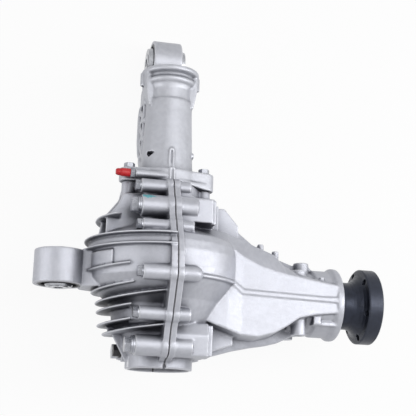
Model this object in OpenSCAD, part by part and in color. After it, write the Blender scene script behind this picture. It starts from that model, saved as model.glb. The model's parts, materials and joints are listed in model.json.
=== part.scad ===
// Front differential with a split case, a bolted-on axle tube and two bushed hanging ears.
// X runs along the drive pinion, Y along the axle and Z up. The origin is the centre of the
// left output mouth, on the axle line. The case splits on the plane x = 0.

/* [Case] */
// Outer radius of the barrel round the left output
barrel_r = 42.7; // [41.5:0.1:45]
// Length of that barrel before the case widens
barrel_len = 16; // [14:0.5:18]
// Wall of the case round the ring gear
case_wall = 6; // [5:0.25:7]
// Thickness of the parting flange on each half
flange_t = 8; // [6:0.5:10]
// Thickness of the sealing bead between the halves
gasket_t = 0.6; // [0.4:0.1:1]
// Distance from the left output mouth to the pinion axis
pinion_y = 97; // [96:0.25:98]
// Distance from the left output mouth to the seat of the axle tube
tube_seat_y = 238; // [236:0.5:242]
// Radius of the case round the right bearing, next to the tube seat
neck_r = 47; // [46:0.5:49]
// Thickness of a cooling fin at its edge
fin_t = 2.6; // [2:0.2:4]
// Thickness of a cooling fin at its root
fin_root_t = 6; // [5:0.25:8]
// Length of the cover's bolt bosses, from the split to the bolt head
boss_len = 41; // [38:0.5:43]

/* [Pinion snout] */
// Outer radius of the snout
snout_r = 44.5; // [43:0.25:46]
// Outer radius of the bead round the snout's end
snout_ring_r = 48.3; // [47:0.1:49.5]
// Distance from the axle line to the snout's end
snout_end_x = 233.7; // [232:0.1:236]
// Half height of the neck's flat pads
pad_z = 45.5; // [44:0.5:48]
// Half thickness of the web at the neck's edges
web_z = 7; // [5:0.5:9]

/* [Axle tube] */
// Length of the axle tube from its seat to its end
tube_len = 161; // [150:0.5:170]
// Outer radius of the tube at its middle
tube_r = 32; // [31:0.25:34]
// Radius of the bore inside the tube
tube_bore_r = 25; // [23:0.25:26.5]
// Thickness of the tube's flange
tube_flange_t = 18; // [14:0.5:20]
// Radius of the tube's flange
tube_flange_r = 44; // [43.5:0.25:46]
// Radius of the tube's end ring
tube_ring_r = 38.8; // [37:0.1:41]

/* [Hanging ears] */
// Outer radius of the front ear's barrel
front_ear_r = 33; // [32:0.25:35]
// Length of the front ear's barrel
front_ear_len = 44; // [38:0.5:48]
// Distance from the axle line to the front ear's bolt
front_ear_x = 132; // [130:0.5:136]
// Outer radius of the tube ear's barrel
tube_ear_r = 32; // [31.5:0.25:34]
// Length of the tube ear's barrel
tube_ear_len = 40; // [36:0.5:44]
// Distance from the tube's end to the tube ear's bolt, along the axle
tube_ear_past = 40; // [38:0.5:44]
// Depth of the tube ear's bolt below the axle line
tube_ear_drop = 72; // [68:0.5:76]
// Outer radius of the bush's steel outer sleeve
bush_r = 27; // [26:0.1:27.5]
// Wall of the bush's outer sleeve
bush_wall = 1.6; // [1.2:0.1:2]
// Radius of the bush's inner sleeve
bush_core_r = 12.5; // [11.5:0.1:13.5]
// Radius of the bolt hole through each bush
ear_bolt_r = 6.25; // [5.5:0.05:7]
// Radius of the flanges on the front ear's inner sleeve
front_core_flange_r = 17.8; // [16:0.1:19]
// How far the front ear's inner sleeve stands out of the ear at each end
front_core_out = 3.5; // [2:0.5:8]
// Radius of the flanges on the tube ear's inner sleeve
tube_core_flange_r = 21.5; // [18:0.1:22]
// How far the tube ear's inner sleeve stands out of the ear at each end
tube_core_out = 7; // [2:0.5:8]

/* [Fasteners] */
// Shank radius of the small case bolts
small_bolt_r = 4; // [3.5:0.05:4.5]
// Shank radius of the bolts that clamp the carrier bearings
large_bolt_r = 6; // [5.5:0.05:6.5]
// Shank radius of the tube bolts
tube_bolt_r = 4.2; // [3.6:0.05:5]
// Radial clearance of a bolt in its hole
bolt_clear = 0.1; // [0.05:0.01:0.3]

/* [Final drive] */
// Teeth on the ring gear
ring_teeth = 40;
// Teeth on the drive pinion
pinion_teeth = 13;
// Pitch radius of the ring gear at its outer end
ring_pitch_r = 84; // [82:0.25:85]
// Width of the final drive's teeth
ring_face = 26; // [22:0.5:28]
// Thickness of the ring gear behind its teeth
ring_back = 9; // [8.5:0.25:10]
// Sideways turn of the curved teeth across their width, in degrees
spiral_turn = 12; // [8:0.5:16]
// Room between the ring gear and the case
ring_gap = 4; // [3.5:0.25:5]

/* [Differential gears] */
// Teeth on a side gear
side_teeth = 16;
// Teeth on a spider gear
spider_teeth = 10;
// Pitch radius of a side gear at its outer end
side_pitch_r = 28; // [27:0.25:29]
// Width of the spider and side gear teeth
side_face = 11; // [9:0.5:12]
// Radius of the cross pin
cross_pin_r = 8; // [7:0.1:8.5]
// Radius of the splined bore in a side gear
spline_r = 13; // [12:0.1:13.5]
// Distance from the left output mouth to the cross pin
spider_y = 100; // [99.5:0.25:100.5]
// Radius of the differential case round the gears
diff_case_r = 52; // [51:0.25:53]

/* [Bearings] */
// Outer radius of a carrier bearing
carrier_cup_r = 36.7; // [36:0.05:37.5]
// Bore radius of a carrier bearing
carrier_bore_r = 22.6; // [22:0.05:23]
// Width of a carrier bearing
carrier_brg_w = 19.5; // [18:0.25:20]
// Outer radius of the pinion's head bearing
head_cup_r = 36; // [35:0.25:37]
// Width of the pinion's head bearing
head_brg_w = 22; // [20:0.5:23]
// Outer radius of the pinion's tail bearing
tail_cup_r = 31; // [30:0.25:32]
// Width of the pinion's tail bearing
tail_brg_w = 17; // [15:0.5:18]
// Outer radius of the ball bearing at the tube's end
tube_brg_r = 27.5; // [27:0.1:28.5]
// Width of that ball bearing
tube_brg_w = 13; // [12:0.5:14]
// Thickness of the carrier bearing shims
shim_t = 1; // [0.6:0.1:1.5]

/* [Companion flange] */
// Outer radius of the companion flange
comp_r = 50; // [49:0.5:55]
// Thickness of the companion flange's disc
comp_t = 19.8; // [16:0.2:22]
// Distance from the axle line to the flange's front face
comp_face_x = 286.7; // [284:0.1:290]
// Radius of the bolt circle in the companion flange
comp_pcr = 43; // [42:0.25:44]
// Radius of the bolt holes in the companion flange
comp_hole_r = 4.25; // [4:0.05:5]
// Radius of the flange's hub behind the disc
comp_hub_r = 31.4; // [30:0.1:33]

/* [Hidden] */
$fn = 96;
eps = 0.02;
fit = 0.03;

// Places along the axle, from the left output mouth
mouth_r = 38.5;
mouth_depth = 8;
seal_bore_r = 31;
left_seat_y = 22;
left_brg_y = left_seat_y + shim_t;
right_seat_y = 188;
right_brg_y = right_seat_y - shim_t - carrier_brg_w;
ring_back_y = pinion_y + ring_pitch_r * pinion_teeth / ring_teeth + 8.7 + ring_back;
flange_back_y = ring_back_y + 9;
ring_tip_r = ring_pitch_r + 3;
cavity_ring_r = ring_tip_r + ring_gap;
case_ring_r = cavity_ring_r + case_wall;
cavity_waist_r = diff_case_r + 5;
cover_waist_r = cavity_waist_r + case_wall - 0.5;
pilot_r = 40;
pilot_len = 8;
passage_r = 33;
tube_end_y = tube_seat_y + tube_len;

// Places along the pinion, from the axle line
ratio = ring_teeth / pinion_teeth;
pinion_pitch_r = ring_pitch_r / ratio;
head_brg_x = ring_pitch_r + 11;
tail_brg_x = snout_end_x - 38.7;
snout_seal_x = tail_brg_x + tail_brg_w + 5;
snout_seal_r = 35;
pinion_shaft_r = 17.5;
tail_bore_r = 14;
comp_journal_r = 24;
comp_back_x = comp_face_x - comp_t;

// Bolts that join the case halves: distance along the axle, height, boss radius
small_bolts = [[227, 50, 9], [171, 78, 8], [pinion_y + 13, case_ring_r + 0.5, 10], [63, 77, 8.5]];
large_bolts = [[199, 60, 14], [26, 56, 13]];
// Bolts that hold the axle tube: x, z and the radius of the flange's ear
tube_bolt_spots = [[-52, 17, 13], [47, 17, 13], [-34, -40, 10], [34, -40, 10]];
tube_column_r = 9;
small_bolt_depth = 20;
large_bolt_depth = 32;

// Front ear
front_ear_mid_y = 123;
front_ear_y0 = front_ear_mid_y - front_ear_len / 2;
front_ear_y1 = front_ear_mid_y + front_ear_len / 2;

// Tube ear
tube_ear_y = tube_end_y + tube_ear_past;
tube_ear_x0 = -16;
tube_ear_x1 = tube_ear_x0 + tube_ear_len;

// Radius of the outer sleeve's inside
bush_rubber_r = bush_r - bush_wall;

// Solid turned about the axle from points of radius and distance
module turned_y(points) rotate([-90, 0, 0]) rotate_extrude() polygon(points);

// Solid turned about the pinion from points of radius and distance
module turned_x(points) translate([0, pinion_y, 0]) rotate([0, 90, 0]) rotate_extrude() polygon(points);

// Round rod along X
module x_rod(r, x0, x1, y, z) translate([x0, y, z]) rotate([0, 90, 0]) cylinder(r = r, h = x1 - x0);

// Round rod along Y
module y_rod(r, y0, y1, x, z) translate([x, y0, z]) rotate([-90, 0, 0]) cylinder(r = r, h = y1 - y0);

// Block from its two corners
module block(low, high) translate(low) cube(high - low);

// Plate with its outline in x and y, centred on z = 0
module plan_plate(points, half_t) linear_extrude(height = 2 * half_t, center = true) polygon(points);

// Plate with its outline in y and z, from x0 to x1
module side_plate(points, x0, x1)
    translate([x0, 0, 0]) rotate([90, 0, 90]) linear_extrude(height = x1 - x0) polygon(points);

// Flat ring about an axis that starts along Z
module ring(r_out, r_in, h) difference() {
    cylinder(r = r_out, h = h);
    translate([0, 0, -1]) cylinder(r = r_in, h = h + 2);
}

// Keeps what lies on one side of the split: side is -1 for the cover and 1 for the housing
module one_side(side) intersection() {
    children();
    translate([side > 0 ? gasket_t / 2 : -400 - gasket_t / 2, -60, -250]) cube([400, 620, 500]);
}

// The same thing above and below the axle line
module both_heights() {
    children();
    mirror([0, 0, 1]) children();
}

// Case

// Edge of the parting flange, in distance along the axle and height
flange_edge = [
    [6, barrel_r - 4], [12, 55], [19, 67], [32, 71], [47, 77], [60, 85.5], [76, 94], [92, 101.5],
    [104, 107], [117, 108.5], [136, 106], [152, 101], [164, 93], [175, 87], [187, 79], [204, 73.5],
    [217, 66], [229, 60], [tube_seat_y, 54]
];

// Outline of the parting face, pulled in from its edge by inset
function flange_outline(inset) = let (n = len(flange_edge)) concat(
    [for (i = [0 : n - 1]) [flange_edge[i][0], flange_edge[i][1] - inset]],
    [for (i = [n - 1 : -1 : 0]) [flange_edge[i][0], inset - flange_edge[i][1]]]
);

// Outer form of the cover, without its fins
cover_profile = [
    [0, 0], [barrel_r - 1, 0], [barrel_r, 1], [barrel_r, barrel_len], [carrier_cup_r + 13, barrel_len + 10],
    [carrier_cup_r + 15, 44], [cover_waist_r, 54], [cover_waist_r + 2, 78], [case_ring_r - 20, 90],
    [case_ring_r - 7, 102], [case_ring_r - 1, 111], [case_ring_r, 120], [case_ring_r, 154],
    [case_ring_r - 3, 162], [62, 176], [neck_r, 186], [neck_r, tube_seat_y],
    [0, tube_seat_y]
];

// Outer form of the housing's bulge over the ring gear
bulge_r = case_ring_r + 1;
housing_profile = [
    [0, 0], [barrel_r - 1, 0], [barrel_r, 1], [barrel_r, barrel_len], [carrier_cup_r + 13, barrel_len + 10],
    [carrier_cup_r + 17, 44], [cover_waist_r + 6, 58], [bulge_r - 18, 84], [bulge_r - 5, 104],
    [bulge_r - 1, 112], [bulge_r, 122], [bulge_r, 142], [bulge_r - 2, 154], [bulge_r - 7, 162],
    [60, 176], [neck_r, 184], [neck_r, tube_seat_y], [0, tube_seat_y]
];

// Hollow inside both halves
module case_hollow() {
    turned_y([
        [0, -1], [mouth_r, -1], [mouth_r, mouth_depth], [seal_bore_r, mouth_depth],
        [seal_bore_r, mouth_depth + 11], [seal_bore_r - 3, mouth_depth + 11],
        [seal_bore_r - 3, left_seat_y], [carrier_cup_r + fit, left_seat_y],
        [carrier_cup_r + fit, left_brg_y + carrier_brg_w + 1], [cavity_waist_r, 53],
        [cavity_waist_r, 94], [cavity_ring_r, 107], [cavity_ring_r, flange_back_y + 9],
        [carrier_cup_r + fit, right_brg_y - 0.5], [carrier_cup_r + fit, right_seat_y],
        [passage_r, right_seat_y], [passage_r, tube_seat_y - pilot_len],
        [pilot_r, tube_seat_y - pilot_len], [pilot_r, tube_seat_y + 1], [0, tube_seat_y + 1]
    ]);
}

// Holes for the bolts that join the halves, blind at depth inside the housing
module case_bolt_holes(depth_small, depth_large) {
    both_heights() {
        for (b = small_bolts) x_rod(small_bolt_r + bolt_clear, -boss_len - 20, depth_small, b[0], b[1]);
        for (b = large_bolts) x_rod(large_bolt_r + bolt_clear, -boss_len - 20, depth_large, b[0], b[1]);
    }
}

// Holes for the dowels
dowel_r = 4;
dowel_half = 6;
dowel_spots = [[46, 60], [185, 62]];
module dowels(r, half) both_heights() for (d = dowel_spots) x_rod(r, -half, half, d[0], d[1]);

// Holes for the tube's bolts
tube_bolt_depth = 22;
module tube_bolt_holes(r) for (s = tube_bolt_spots)
    y_rod(r, tube_seat_y - tube_bolt_depth, tube_end_y, s[0], s[1]);

// Lower side of the flange's ear over the snout, which reaches below the seat. The flange is drawn
// with it, and the housing is cleared by it
ear_low = 5;
ear_root = [10, 35, 8];
module deep_ear(spare) let (s = tube_bolt_spots[1]) hull() {
    y_rod(s[2] + spare, tube_seat_y - ear_low - spare, tube_seat_y + 3, s[0], s[1], $fn = 32);
    y_rod(ear_root[2] + spare, tube_seat_y - spare, tube_seat_y + 3, ear_root[0], ear_root[1], $fn = 32);
}

// Columns under the ears of the tube's flange
module tube_seat_columns() for (s = tube_bolt_spots) {
    hull() {
        y_rod(tube_column_r, tube_seat_y - 9, tube_seat_y, s[0], s[1], $fn = 32);
        y_rod(tube_column_r - 2, tube_seat_y - 9, tube_seat_y, s[0] * 0.6, s[1] * 0.6, $fn = 32);
    }
    y_rod(tube_column_r, tube_seat_y - 30, tube_seat_y, s[0], s[1]);
}

// Cooling fins of the cover: distance along the axle, radius, where it ends towards the split, and
// how far it leans towards the left output, in degrees
fins = [
    [188, 90, -63.5, 0], [160, case_ring_r + 6, 0, 0], [146, case_ring_r + 8, 0, 0],
    [127, case_ring_r + 6, -54, 5], [107.5, case_ring_r - 5, -48, 8], [93, 86, 0, 8],
    [81.5, 84, -48, 8], [64, 82, -48, 8], [52.5, 75, 0, 8]
];
fin_foot_r = 50;
module fin(y, r, end_x, lean) intersection() {
    translate([0, y, 0]) rotate([0, 0, lean]) turned_y([
        [0, -fin_root_t / 2], [fin_foot_r, -fin_root_t / 2], [r - 1, -fin_t / 2],
        [r, -fin_t / 2 + 1], [r, fin_t / 2 - 1], [r - 1, fin_t / 2],
        [fin_foot_r, fin_root_t / 2], [0, fin_root_t / 2]
    ]);
    block([-200, y - 30, -200], [end_x, y + 30, 200]);
}

module case_cover() color([0.72, 0.74, 0.79]) difference() {
    one_side(-1) union() {
        turned_y(cover_profile);
        side_plate(flange_outline(0), -flange_t, 0);
        both_heights() {
            for (b = small_bolts) x_rod(b[2], -boss_len, 0, b[0], b[1]);
            for (b = large_bolts) x_rod(b[2], -boss_len, 0, b[0], b[1]);
            for (b = small_bolts) x_rod(b[2] + 2.5, -flange_t, 0, b[0], b[1]);
            for (b = large_bolts) x_rod(b[2] + 1.5, -flange_t, 0, b[0], b[1]);
        }
        for (f = fins) fin(f[0], f[1], f[2], f[3]);
        cover_webs();
        tube_seat_columns();
        name_pad();
        plug_boss();
        front_ear();
    }
    case_hollow();
    case_bolt_holes(1, 1);
    dowels(dowel_r + fit, dowel_half + 0.5);
    tube_bolt_holes(tube_bolt_r + bolt_clear);
    y_rod(bush_r + fit, front_ear_y0 - 1, front_ear_y1 + 1, -front_ear_x, 0);
    head_rooms();
    plug_holes();
    mouth_notch();
}

// Webs that join the tube seat, the clamp bolt bosses and the ring gear's swelling
module cover_webs() {
    plan_plate([
        [-40, tube_seat_y - 4], [-58, tube_seat_y - 4], [-62, 216], [-82, 190], [-86, 165], [-40, 165]
    ], 3);
    both_heights() translate([0, 0, 30])
        plan_plate([[-30, 222], [-60, 220], [-66, 205], [-80, 186], [-80, 165], [-30, 165]], 2.5);
    both_heights() for (b = large_bolts) block([-boss_len + 6, b[0] - 8, 20], [0, b[0] + 8, b[1]]);
    both_heights() for (b = small_bolts) block([-boss_len + 8, b[0] - 3, b[1] - 22], [0, b[0] + 3, b[1]]);
    plan_plate([[-40, 34], [-66, 44], [-72, 58], [-40, 58]], 3);
    translate([0, 0, 7]) plan_plate([[-36, 8], [-44.5, 9], [-63.5, 43.5], [-36, 43.5]], 1.8);
}

// Flat seats for the bolt heads
module head_rooms() both_heights() {
    for (b = small_bolts) x_rod(head_face * small_bolt_r + 1, -boss_len - 30, -boss_len, b[0], b[1]);
    for (b = large_bolts) x_rod(washer_r + 0.6, -boss_len - 30, -boss_len, b[0], b[1]);
}

// Bare raised pad on the swelling
pad_y = [123, 140];
module name_pad() intersection() {
    y_rod(case_ring_r + 3, pad_y[0], pad_y[1], 0, 0);
    both_heights() block([-110, pad_y[0], 28], [-74, pad_y[1], 70]);
}

// Seam notch at the left output mouth
module mouth_notch() block([-2, -1, barrel_r - 3], [2, 5, barrel_r + 1]);

// Oil plugs: drain low on the barrel side, fill on the far side
plug_r = 6;
drain_y = 24;
drain_z = 22;
drain_x = 46;
fill_y = 125;
fill_z = 48;
fill_x = 92;
module plug_holes() {
    x_rod(plug_r + fit, -drain_x - 1, 0, drain_y, -drain_z);
    x_rod(plug_r + 3.5, -drain_x - 20, -drain_x, drain_y, -drain_z);
    x_rod(plug_r + fit, -fill_x - 1, 0, fill_y, -fill_z);
    x_rod(plug_r + 3.5, -fill_x - 20, -fill_x, fill_y, -fill_z);
}
module plug_boss() {
    x_rod(plug_r + 4, -drain_x, -20, drain_y, -drain_z);
    x_rod(plug_r + 5, -fill_x, -40, fill_y, -fill_z);
}

// Front ear and its arm
module front_ear() {
    y_rod(front_ear_r, front_ear_y0, front_ear_y1, -front_ear_x, 0);
    translate([0, front_ear_mid_y, 0]) rotate([90, 0, 0])
        linear_extrude(height = front_ear_len + 4, center = true) polygon([
            [-front_ear_x + bush_r, 19], [-60, 42], [-60, -42], [-front_ear_x + bush_r, -19]
        ]);
}

// Neck between the bulge and the snout. Each station has its distance from the axle line, then the
// heights of the web's top, the slope's outer edge, the pad's top edge, the pad's bottom edge and the
// web's bottom measured from the pinion axis, and how much higher the pad lies than pad_z
neck_stations = [
    [10, 91, 84, 66, -36, -88, 4.5], [50, 91, 84, 66, -37, -82, 4.5], [76, 91, 80, 63, -45, -74, 3.5],
    [96, 90, 73, 50, -51.5, -68, 0.5], [118, 73, 65, 39.5, -52.5, -63, 0], [140, 63, 57, 33, -46, -59, 0],
    [155, 55, 43, 30.5, -37.5, -55, 0], [173, 49, 34, 28, -25, -46, 0], [194, 42, 29, 24.5, -20, -42, 0],
    [snout_end_x - 8, 38, 24, 20, -16, -38, 0]
];
pad_slope_drop = 13;
pad_crown = 0.8;

// Section of the neck at one station, as points of height above the pinion axis and z
function neck_side(s) = let (z = pad_z + s[6]) [
    [s[1], web_z], [s[2] + 3, web_z + 3], [s[2], z - pad_slope_drop], [s[3], z],
    [0, z + pad_crown], [s[4], z], [s[4] - 3, web_z + 3], [s[5], web_z]
];
function neck_section(s) = let (side = neck_side(s), n = len(side)) concat(
    side, [for (i = [n - 1 : -1 : 0]) [side[i][0], -side[i][1]]]);

// Solid through a list of sections that all have n points
module loft(points, n, rows) polyhedron(
    points = points,
    faces = concat(
        [[for (i = [0 : n - 1]) i]],
        [for (r = [0 : rows - 2]) for (i = [0 : n - 1]) for (half = [0, 1])
            let (a = r * n + i, b = r * n + (i + 1) % n)
            half == 0 ? [a, b + n, b] : [a, a + n, b + n]],
        [[for (i = [0 : n - 1]) (rows - 1) * n + n - 1 - i]]
    ));

neck_start_x = 12;
module neck() intersection() {
    loft([for (s = neck_stations) for (p = neck_section(s)) [s[0], pinion_y + p[0], p[1]]],
        len(neck_section(neck_stations[0])), len(neck_stations));
    block([neck_start_x, -60, -2 * pad_z], [snout_end_x - 9, tube_seat_y, 2 * pad_z]);
}

// Bores and rooms round the pinion
module neck_hollow() turned_x([
    [0, 20], [40, 20], [40, head_brg_x - 3], [head_cup_r + fit, head_brg_x - 3],
    [head_cup_r + fit, head_brg_x + head_brg_w], [head_cup_r - 7, head_brg_x + head_brg_w],
    [tail_cup_r - 4, tail_brg_x - 20], [tail_cup_r - 4, tail_brg_x], [tail_cup_r + fit, tail_brg_x],
    [tail_cup_r + fit, snout_seal_x], [snout_seal_r + fit, snout_seal_x],
    [snout_seal_r + fit, snout_end_x - 4], [snout_seal_r + 4, snout_end_x + 1], [0, snout_end_x + 1]
]);

// Snout with its end bead
module snout() turned_x([
    [0, 165], [snout_r - 5, 165], [snout_r - 3.5, 196], [snout_r, 200], [snout_r, snout_end_x - 13],
    [snout_ring_r, snout_end_x - 8], [snout_ring_r, snout_end_x - 2], [snout_ring_r - 1.5, snout_end_x],
    [0, snout_end_x]
]);

// Round bosses on the snout. Each has its x and z, its ends measured from the pinion axis and its
// radius. The first is threaded at its lower end and the second at its upper one
snout_bosses = [[176.3, 28, -46.5, 39, 9.8], [185.6, 8, 0, 52, 10]];
snout_thread_r = 5;
module snout_bosses() {
    for (b = snout_bosses) y_rod(b[4], pinion_y + b[2], pinion_y + b[3], b[0], b[1]);
    low = snout_bosses[0];
    y_rod(low[4], pinion_y + low[2], pinion_y + low[3], low[0], -low[1]);
    plan_plate([[186, pinion_y + 20], [186, pinion_y + 51], [193, pinion_y + 50], [213, pinion_y + 30]], 11);
    both_heights() {
        block([203, pinion_y + 24, 20], [208, pinion_y + 31, 38]);
        block([193.5, pinion_y - 32, 20], [203.5, pinion_y - 20, 40.5]);
        block([193.5, pinion_y - 32.5, 20], [snout_end_x - 8, pinion_y - 27.5, 37.5]);
    }
}
module snout_boss_holes() {
    low = snout_bosses[0];
    up = snout_bosses[1];
    y_rod(snout_thread_r, pinion_y + low[2] - 1, pinion_y + low[2] + 12, low[0], low[1]);
    y_rod(snout_thread_r, pinion_y + up[3] - 14, pinion_y + up[3] + 1, up[0], up[1]);
}

// Ridge that follows the bulge and then the pads' middle
ridge_up = [11, 15];
ridge_end_x = 92;
module mould_ridge() {
    intersection() {
        y_rod(bulge_r + 2, pinion_y + ridge_up[0], pinion_y + ridge_up[1], 0, 0);
        both_heights() block([flange_t, pinion_y, 52], [ridge_end_x, pinion_y + 40, bulge_r + 5]);
    }
    both_heights() side_ridge();
}
module side_ridge() intersection() {
    translate([0, pinion_y, 0]) plan_plate([
        [72, ridge_up[0] + 2], [72, ridge_up[1] + 2], [84, ridge_up[1] + 1], [98, 6], [204, 3],
        [snout_end_x - 8, 3.5], [snout_end_x - 8, -2.5], [204, -2], [96, 1], [82, ridge_up[0] + 1]
    ], 70);
    translate([0, 0, 1.2]) neck();
}

// Thick blocks of the housing that hold the threads of the bolts
module housing_blocks() {
    both_heights() {
        side_plate([[181, 20], [181, 69], [212, 69], [214, 50], [214, 20]], 0, 50);
        side_plate([[181, 20], [181, 60], [213, 60], [213, 20]], 0, 56);
        side_plate([[14, 20], [15, 62], [40, 66], [56, 60], [56, 20]], 0, 50);
        side_plate([[15, 20], [16, 55], [54, 57], [54, 20]], 0, 57);
        block([0, 55, 20], [34, 70, 60]);
        for (b = large_bolts) x_rod(b[2], 0, 30, b[0], b[1]);
        for (b = large_bolts) x_rod(b[2] + 1.5, 0, flange_t, b[0], b[1]);
        for (b = small_bolts) x_rod(b[2] + 2.5, 0, flange_t, b[0], b[1]);
        for (b = small_bolts) x_rod(b[2], 0, 23, b[0], b[1]);
        translate([23, small_bolts[2][0], small_bolts[2][1]]) sphere(r = small_bolts[2][2]);
        block([0, 166, 50], [24, 179, 82]);
    }
    plan_plate([[0, 222], [60, 221], [60, 150], [0, 150]], 34);
    plan_plate([
        [0, 234], [14, 232.5], [17.5, 230], [19, 225], [22, 219.5], [33, 214], [33, 200], [0, 200]
    ], 56);
    plan_plate([[0, 216], [68, 215], [68, 150], [0, 150]], 22);
    plan_plate([[0, 216], [79, 215], [98, 193], [98, 150], [0, 150]], 9);
    plan_plate([[30, 16], [30, 60], [110, 60], [110, pinion_y - 63], [66, 20]], web_z);
    both_heights() translate([0, 0, 24]) plan_plate([[20, 10], [20, 60], [90, 60], [90, 34]], 3);
}

// Small proud studs on the neck's webs: x, z, how far up they reach from the pinion axis, and radius
web_studs = [[129, 9, 73.5, 4.2], [147, 17, 64, 4.6]];
module web_buttons() {
    for (s = web_studs) y_rod(s[3], pinion_y + s[2] - 30, pinion_y + s[2], s[0], s[1]);
    both_heights() y_rod(4, 34, 60, 112, web_z - 3);
}

module carrier_housing() color([0.74, 0.76, 0.81]) difference() {
    one_side(1) union() {
        turned_y(housing_profile);
        side_plate(flange_outline(0), 0, flange_t);
        neck();
        snout();
        snout_bosses();
        mould_ridge();
        housing_blocks();
        web_buttons();
        tube_seat_columns();
    }
    case_hollow();
    neck_hollow();
    case_bolt_holes(small_bolt_depth, large_bolt_depth);
    dowels(dowel_r + fit, dowel_half + 0.5);
    tube_bolt_holes(tube_bolt_r + bolt_clear);
    snout_boss_holes();
    mouth_notch();
    deep_ear(0.3);
}

// Sealing bead between the halves
gasket_inset = 0.4;
module case_gasket() color([0.12, 0.12, 0.13]) difference() {
    union() {
        side_plate(flange_outline(gasket_inset), -gasket_t / 2, gasket_t / 2);
        block([-gasket_t / 2, gasket_inset, gasket_inset - barrel_r],
            [gasket_t / 2, mouth_depth + 4, barrel_r - gasket_inset]);
    }
    case_hollow();
    case_bolt_holes(small_bolt_depth, large_bolt_depth);
    dowels(dowel_r + fit, dowel_half + 0.5);
    mouth_notch();
}

module dowel_pins() color("silver") difference() {
    dowels(dowel_r, dowel_half);
    dowels(dowel_r - 1.5, dowel_half + 1);
}

// Hexagon that stands on its end, with its width across flats given as a half
module hex(half_af, h) cylinder(r = half_af / cos(30), h = h, $fn = 6);

// Bolt with a washer face under its head. It starts at the head's seat and goes down to -length.
// Half the width across flats, the height and the washer face are shares of the shank's radius
head_af = 1.5;
head_h = 1.7;
head_face = 1.8;
module flange_bolt(r, length) {
    translate([0, 0, -length]) cylinder(r = r, h = length + 1);
    cylinder(r = head_face * r, h = 0.4 * r);
    translate([0, 0, 0.2 * r]) intersection() {
        hex(head_af * r, (head_h - 0.2) * r);
        cylinder(r1 = head_af * r / cos(30) + 0.7 * r, r2 = head_af * 1.02 * r, h = head_h * r);
    }
}

module cover_bolts() color("gainsboro") both_heights() for (b = small_bolts)
    translate([-boss_len, b[0], b[1]]) rotate([0, -90, 0])
        flange_bolt(small_bolt_r, boss_len + small_bolt_depth - 1);

washer_t = 2.2;
washer_r = 1.9 * large_bolt_r;
module clamp_bolt_washers() color("gray") both_heights() for (b = large_bolts)
    translate([-boss_len, b[0], b[1]]) rotate([0, -90, 0])
        ring(washer_r, large_bolt_r + bolt_clear, washer_t);

module bearing_clamp_bolts() color("gainsboro") both_heights() for (b = large_bolts)
    translate([-boss_len - washer_t, b[0], b[1]]) rotate([0, -90, 0])
        flange_bolt(large_bolt_r, boss_len + washer_t + large_bolt_depth - 2);

// Axle tube

tube_top_y = tube_seat_y + tube_flange_t;
tube_profile = [
    [0, tube_seat_y - pilot_len + 0.5], [pilot_r - fit, tube_seat_y - pilot_len + 0.5],
    [pilot_r - fit, tube_seat_y], [tube_flange_r, tube_seat_y], [tube_flange_r, tube_top_y - 1.5],
    [tube_flange_r - 1.5, tube_top_y], [tube_r + 3.5, tube_top_y], [tube_r + 2, tube_top_y + 10],
    [tube_r - 1, tube_end_y - 59], [tube_r - 1, tube_end_y - 44], [tube_r - 2.6, tube_end_y - 43],
    [tube_r - 2.4, tube_end_y - 28], [tube_brg_r + 4, tube_end_y - 22.5], [tube_brg_r + 6.6, tube_end_y - 20.5],
    [tube_brg_r + 8, tube_end_y - 17.5], [tube_brg_r + 7.4, tube_end_y - 14.8],
    [tube_brg_r + 4.8, tube_end_y - 13.2], [tube_brg_r + 4.8, tube_end_y - 9],
    [tube_ring_r - 1, tube_end_y - 7], [tube_ring_r, tube_end_y - 5.5], [tube_ring_r, tube_end_y - 1.5],
    [tube_ring_r - 1.2, tube_end_y],
    [0, tube_end_y]
];
tube_brg_y = tube_end_y - 6 - tube_brg_w;

// Bracket below the tube that carries its ear: outline in y and z
bracket_top = 8;
bracket = [
    [tube_top_y - 1, -bracket_top], [tube_top_y - 1, -26], [tube_top_y + 12, -27], [tube_top_y + 34, -54],
    [tube_end_y - 30, -tube_ear_drop - 24], [tube_ear_y, -tube_ear_drop - tube_ear_r + 1],
    [tube_ear_y, -tube_ear_drop + 8], [tube_end_y - 2, -34], [tube_end_y - 10, -bracket_top]
];
bracket_x = 34;
side_panel = [
    [tube_top_y + 4, -bracket_top], [tube_top_y + 4, -18], [tube_top_y + 30, -44], [tube_top_y + 58, -56],
    [tube_end_y - 50, -56], [tube_end_y - 18, -30], [tube_end_y - 18, -bracket_top]
];
panel_t = 9;
wall_t = 7;
rib_t = 5;
rib_step = 25;
rib_count = 4;
ridge_half = 3.4;
ridge_slot = 1.9;
module tube_bracket() {
    side_plate(side_panel, -bracket_x, -bracket_x + panel_t);
    side_plate(bracket, tube_ear_x0, tube_ear_x0 + wall_t);
    side_plate(bracket, tube_ear_x1 - wall_t, tube_ear_x1);
    side_plate([
        [tube_end_y - 26, -20], [tube_end_y - 40, -tube_ear_drop + 4], [tube_end_y - 30, -tube_ear_drop - 24],
        [tube_ear_y, -tube_ear_drop - tube_ear_r + 1], [tube_ear_y, -tube_ear_drop + 8], [tube_end_y - 2, -34]
    ], tube_ear_x0, tube_ear_x1);
    for (i = [0 : rib_count - 1]) let (y = tube_top_y + 22 + rib_step * i) {
        block([tube_ear_x0, y, -50 - 13 * i], [tube_ear_x1, y + rib_t, 0]);
        block([-bracket_x, y, -34 - 3 * i], [0, y + rib_t, 0]);
    }
}

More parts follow.
